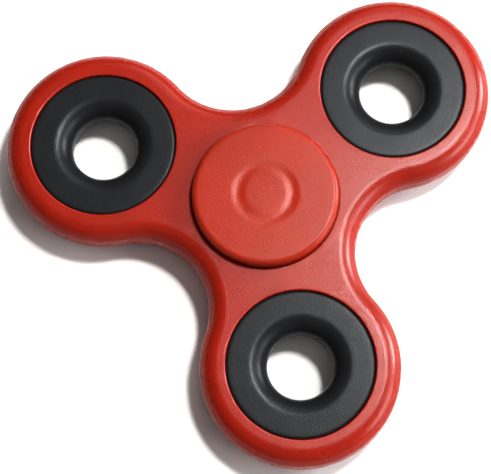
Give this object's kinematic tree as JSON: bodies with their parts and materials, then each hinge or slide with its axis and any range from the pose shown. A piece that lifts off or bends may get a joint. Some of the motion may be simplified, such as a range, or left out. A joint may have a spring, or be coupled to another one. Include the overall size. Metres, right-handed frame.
{
  "type": "fidget spinner",
  "caption": "Palm-size spinner: a rounded moulded body with lobes that hold black ring weights turns on a ball bearing between two flat finger caps.",
  "frame": {"origin": "centre of the hub on the spin axis, half-way through the thickness", "axes": "+Z along the spin axis, out of the top finger cap; +X through the centre of lobe 1"},
  "size_m": [0.0685, 0.0744, 0.011],
  "materials": {
    "body_plastic": "red ABS, fine spark-eroded grain on the faces, smoother rounded edges",
    "cap_plastic": "red ABS, fine spark-eroded grain with a smooth rim",
    "weight_coating": "matt black coating on steel, slightly worn at the bore edge",
    "ring_steel": "ground bearing steel",
    "shield_steel": "pressed sheet steel",
    "cage_steel": "pressed sheet steel",
    "ball_steel": "polished bearing steel"
  },
  "bodies": {
    "hub": {"finger_cap_top": "cap_plastic", "finger_cap_bottom": "cap_plastic", "bearing_inner_ring": "ring_steel"},
    "rotor": {"spinner_body": "body_plastic", "counterweight_1": "weight_coating", "counterweight_2": "weight_coating", "counterweight_3": "weight_coating", "bearing_outer_ring": "ring_steel", "bearing_shield_top": "shield_steel", "bearing_shield_bottom": "shield_steel"},
    "cage": {"cage_half_top": "cage_steel", "cage_half_bottom": "cage_steel", "cage_rivets": "cage_steel"},
    "ball_1": {"ball_1": "ball_steel"},
    "ball_2": {"ball_2": "ball_steel"},
    "ball_3": {"ball_3": "ball_steel"},
    "ball_4": {"ball_4": "ball_steel"},
    "ball_5": {"ball_5": "ball_steel"},
    "ball_6": {"ball_6": "ball_steel"},
    "ball_7": {"ball_7": "ball_steel"}
  },
  "joints": [
    {"name": "rotor_spin", "type": "hinge", "parent": "hub", "child": "rotor", "pos_m": [0, 0, 0], "axis": [0, 0, 1], "continuous": true},
    {"name": "cage_orbit", "type": "hinge", "parent": "hub", "child": "cage", "pos_m": [0, 0, 0], "axis": [0, 0, 1], "continuous": true},
    {"name": "ball_1_roll", "type": "hinge", "parent": "cage", "child": "ball_1", "pos_m": [0.0075, 0, 0], "axis": [0, 0, 1], "continuous": true},
    {"name": "ball_2_roll", "type": "hinge", "parent": "cage", "child": "ball_2", "pos_m": [0.00468, 0.00586, 0], "axis": [0, 0, 1], "continuous": true},
    {"name": "ball_3_roll", "type": "hinge", "parent": "cage", "child": "ball_3", "pos_m": [-0.00167, 0.00731, 0], "axis": [0, 0, 1], "continuous": true},
    {"name": "ball_4_roll", "type": "hinge", "parent": "cage", "child": "ball_4", "pos_m": [-0.00676, 0.00325, 0], "axis": [0, 0, 1], "continuous": true},
    {"name": "ball_5_roll", "type": "hinge", "parent": "cage", "child": "ball_5", "pos_m": [-0.00676, -0.00325, 0], "axis": [0, 0, 1], "continuous": true},
    {"name": "ball_6_roll", "type": "hinge", "parent": "cage", "child": "ball_6", "pos_m": [-0.00167, -0.00731, 0], "axis": [0, 0, 1], "continuous": true},
    {"name": "ball_7_roll", "type": "hinge", "parent": "cage", "child": "ball_7", "pos_m": [0.00468, -0.00586, 0], "axis": [0, 0, 1], "continuous": true}
  ],
  "couplings": [
    {"joint": "cage_orbit", "follows": "rotor_spin", "ratio": 0.6323},
    {"joint": "ball_1_roll", "follows": "rotor_spin", "ratio": 1.7573},
    {"joint": "ball_2_roll", "follows": "rotor_spin", "ratio": 1.7573},
    {"joint": "ball_3_roll", "follows": "rotor_spin", "ratio": 1.7573},
    {"joint": "ball_4_roll", "follows": "rotor_spin", "ratio": 1.7573},
    {"joint": "ball_5_roll", "follows": "rotor_spin", "ratio": 1.7573},
    {"joint": "ball_6_roll", "follows": "rotor_spin", "ratio": 1.7573},
    {"joint": "ball_7_roll", "follows": "rotor_spin", "ratio": 1.7573}
  ]
}
